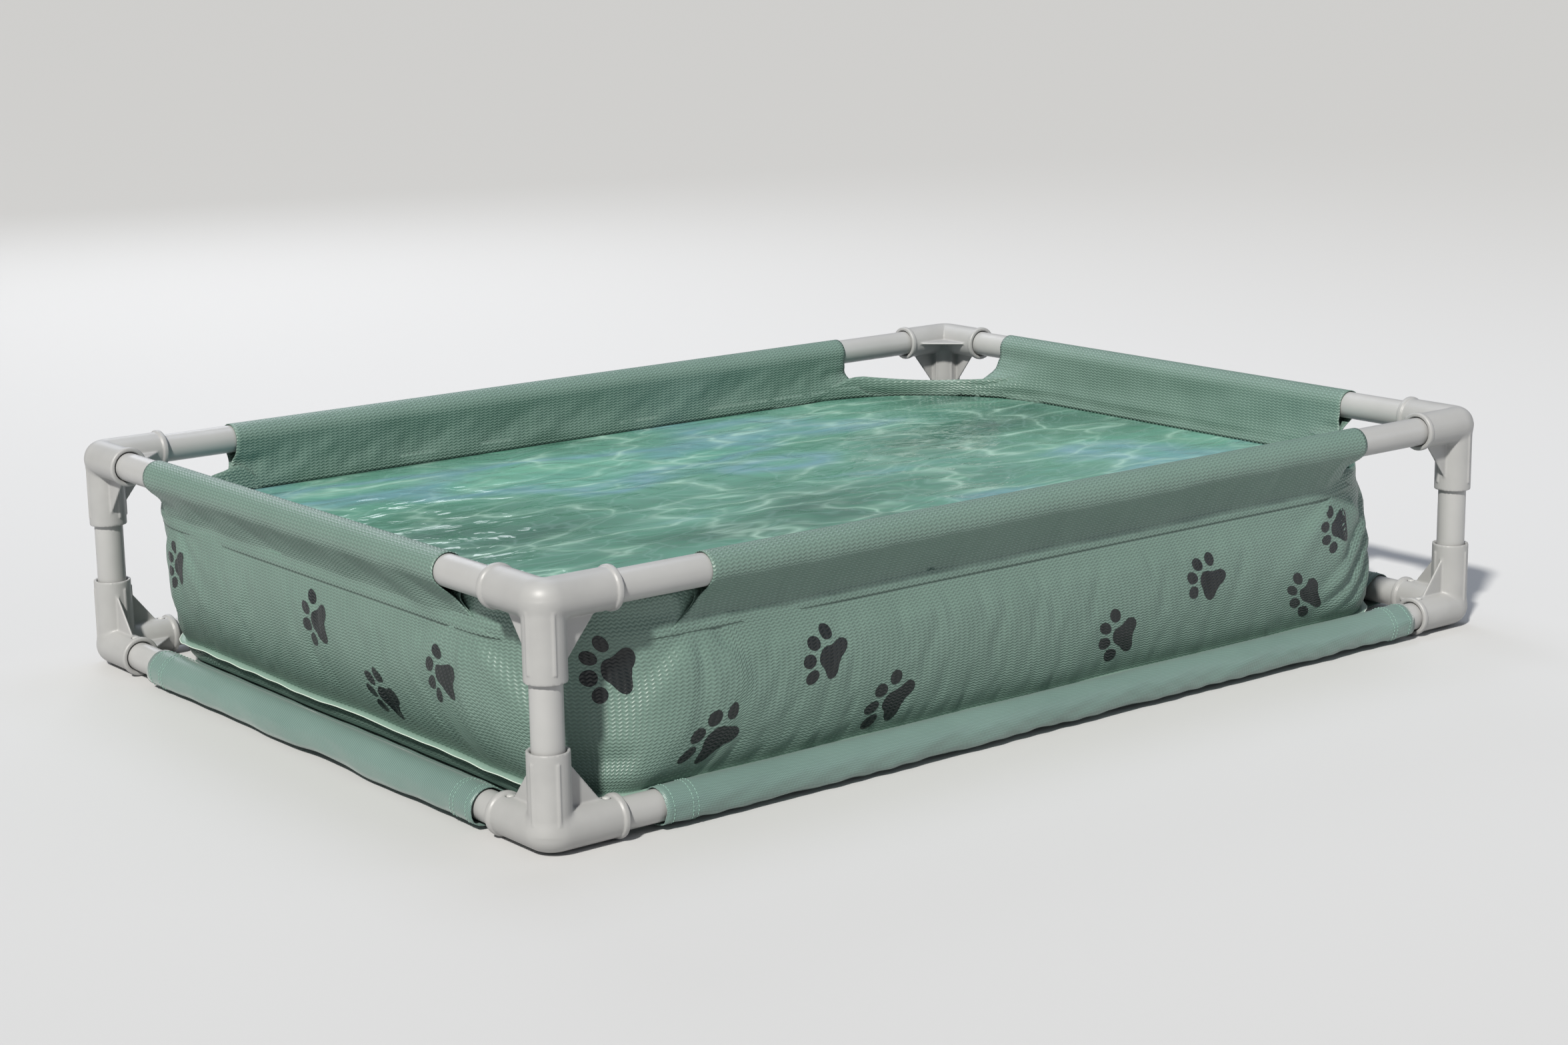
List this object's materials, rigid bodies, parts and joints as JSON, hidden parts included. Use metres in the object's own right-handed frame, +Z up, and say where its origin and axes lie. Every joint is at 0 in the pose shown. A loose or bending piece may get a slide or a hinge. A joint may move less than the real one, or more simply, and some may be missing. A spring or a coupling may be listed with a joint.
{
  "type": "pet bathtub",
  "caption": "Low rectangular pet bathtub: an open fabric tub hung by sleeves from a tube frame with three-way corner fittings, over a woven base sheet.",
  "frame": {"origin": "on the ground, under the middle of the tub", "axes": "+X along the long side, +Y along the short side, +Z up"},
  "size_m": [1.0346, 0.7404, 0.2055],
  "materials": {
    "elbow": "satin moulded, warm light grey",
    "tube": "satin extruded, warm light grey",
    "button": "satin, near white",
    "spring": "spring strip",
    "tub_fabric": "embossed coated fabric, sage green, with dark paw prints",
    "base_fabric": "woven coated polyester, blue green",
    "drain_body": "satin moulded",
    "drain_cap": "satin moulded"
  },
  "bodies": {
    "frame": {"corner_bottom_front_left": "elbow", "corner_bottom_front_right": "elbow", "corner_bottom_back_left": "elbow", "corner_bottom_back_right": "elbow", "corner_top_front_left": "elbow", "corner_top_front_right": "elbow", "corner_top_back_left": "elbow", "corner_top_back_right": "elbow", "leg_front_left": "tube", "leg_front_right": "tube", "leg_back_left": "tube", "leg_back_right": "tube", "rail_bottom_front": "tube", "rail_bottom_back": "tube", "rail_bottom_left": "tube", "rail_bottom_right": "tube", "rail_top_front": "tube", "rail_top_back": "tube", "rail_top_left": "tube", "rail_top_right": "tube", "springs_bottom_front": "spring", "springs_bottom_back": "spring", "springs_bottom_left": "spring", "springs_bottom_right": "spring", "springs_top_front": "spring", "springs_top_back": "spring", "springs_top_left": "spring", "springs_top_right": "spring", "tub_floor": "tub_fabric", "tub_wall_front": "tub_fabric", "tub_wall_back": "tub_fabric", "tub_wall_left": "tub_fabric", "tub_wall_right": "tub_fabric", "tub_corner_front_left": "tub_fabric", "tub_corner_front_right": "tub_fabric", "tub_corner_back_left": "tub_fabric", "tub_corner_back_right": "tub_fabric", "base_sheet": "base_fabric", "base_sleeve_front": "base_fabric", "base_sleeve_back": "base_fabric", "base_sleeve_left": "base_fabric", "base_sleeve_right": "base_fabric", "drain_fitting": "drain_body"},
    "button_bottom_front_left": {"button_bottom_front_left": "button"},
    "button_bottom_front_right": {"button_bottom_front_right": "button"},
    "button_bottom_back_left": {"button_bottom_back_left": "button"},
    "button_bottom_back_right": {"button_bottom_back_right": "button"},
    "button_bottom_left_front": {"button_bottom_left_front": "button"},
    "button_bottom_left_back": {"button_bottom_left_back": "button"},
    "button_bottom_right_front": {"button_bottom_right_front": "button"},
    "button_bottom_right_back": {"button_bottom_right_back": "button"},
    "button_top_front_left": {"button_top_front_left": "button"},
    "button_top_front_right": {"button_top_front_right": "button"},
    "button_top_back_left": {"button_top_back_left": "button"},
    "button_top_back_right": {"button_top_back_right": "button"},
    "button_top_left_front": {"button_top_left_front": "button"},
    "button_top_left_back": {"button_top_left_back": "button"},
    "button_top_right_front": {"button_top_right_front": "button"},
    "button_top_right_back": {"button_top_right_back": "button"},
    "drain_plug": {"drain_plug": "drain_cap"}
  },
  "joints": [
    {"name": "press_bottom_front_left", "type": "slide", "parent": "frame", "child": "button_bottom_front_left", "axis": [0, 0, -1], "range_m": [0, 0.004], "stiffness_N_per_m": 600, "deforming": ["springs_bottom_front"]},
    {"name": "press_bottom_front_right", "type": "slide", "parent": "frame", "child": "button_bottom_front_right", "axis": [0, 0, -1], "range_m": [0, 0.004], "stiffness_N_per_m": 600, "deforming": ["springs_bottom_front"]},
    {"name": "press_bottom_back_left", "type": "slide", "parent": "frame", "child": "button_bottom_back_left", "axis": [0, 0, -1], "range_m": [0, 0.004], "stiffness_N_per_m": 600, "deforming": ["springs_bottom_back"]},
    {"name": "press_bottom_back_right", "type": "slide", "parent": "frame", "child": "button_bottom_back_right", "axis": [0, 0, -1], "range_m": [0, 0.004], "stiffness_N_per_m": 600, "deforming": ["springs_bottom_back"]},
    {"name": "press_bottom_left_front", "type": "slide", "parent": "frame", "child": "button_bottom_left_front", "axis": [0, 0, -1], "range_m": [0, 0.004], "stiffness_N_per_m": 600, "deforming": ["springs_bottom_left"]},
    {"name": "press_bottom_left_back", "type": "slide", "parent": "frame", "child": "button_bottom_left_back", "axis": [0, 0, -1], "range_m": [0, 0.004], "stiffness_N_per_m": 600, "deforming": ["springs_bottom_left"]},
    {"name": "press_bottom_right_front", "type": "slide", "parent": "frame", "child": "button_bottom_right_front", "axis": [0, 0, -1], "range_m": [0, 0.004], "stiffness_N_per_m": 600, "deforming": ["springs_bottom_right"]},
    {"name": "press_bottom_right_back", "type": "slide", "parent": "frame", "child": "button_bottom_right_back", "axis": [0, 0, -1], "range_m": [0, 0.004], "stiffness_N_per_m": 600, "deforming": ["springs_bottom_right"]},
    {"name": "press_top_front_left", "type": "slide", "parent": "frame", "child": "button_top_front_left", "axis": [0, 0, 1], "range_m": [0, 0.004], "stiffness_N_per_m": 600, "deforming": ["springs_top_front"]},
    {"name": "press_top_front_right", "type": "slide", "parent": "frame", "child": "button_top_front_right", "axis": [0, 0, 1], "range_m": [0, 0.004], "stiffness_N_per_m": 600, "deforming": ["springs_top_front"]},
    {"name": "press_top_back_left", "type": "slide", "parent": "frame", "child": "button_top_back_left", "axis": [0, 0, 1], "range_m": [0, 0.004], "stiffness_N_per_m": 600, "deforming": ["springs_top_back"]},
    {"name": "press_top_back_right", "type": "slide", "parent": "frame", "child": "button_top_back_right", "axis": [0, 0, 1], "range_m": [0, 0.004], "stiffness_N_per_m": 600, "deforming": ["springs_top_back"]},
    {"name": "press_top_left_front", "type": "slide", "parent": "frame", "child": "button_top_left_front", "axis": [0, 0, 1], "range_m": [0, 0.004], "stiffness_N_per_m": 600, "deforming": ["springs_top_left"]},
    {"name": "press_top_left_back", "type": "slide", "parent": "frame", "child": "button_top_left_back", "axis": [0, 0, 1], "range_m": [0, 0.004], "stiffness_N_per_m": 600, "deforming": ["springs_top_left"]},
    {"name": "press_top_right_front", "type": "slide", "parent": "frame", "child": "button_top_right_front", "axis": [0, 0, 1], "range_m": [0, 0.004], "stiffness_N_per_m": 600, "deforming": ["springs_top_right"]},
    {"name": "press_top_right_back", "type": "slide", "parent": "frame", "child": "button_top_right_back", "axis": [0, 0, 1], "range_m": [0, 0.004], "stiffness_N_per_m": 600, "deforming": ["springs_top_right"]},
    {"name": "plug_pull", "type": "slide", "parent": "frame", "child": "drain_plug", "axis": [0.9653, 0, -0.261], "range_m": [0, 0.014]}
  ]
}
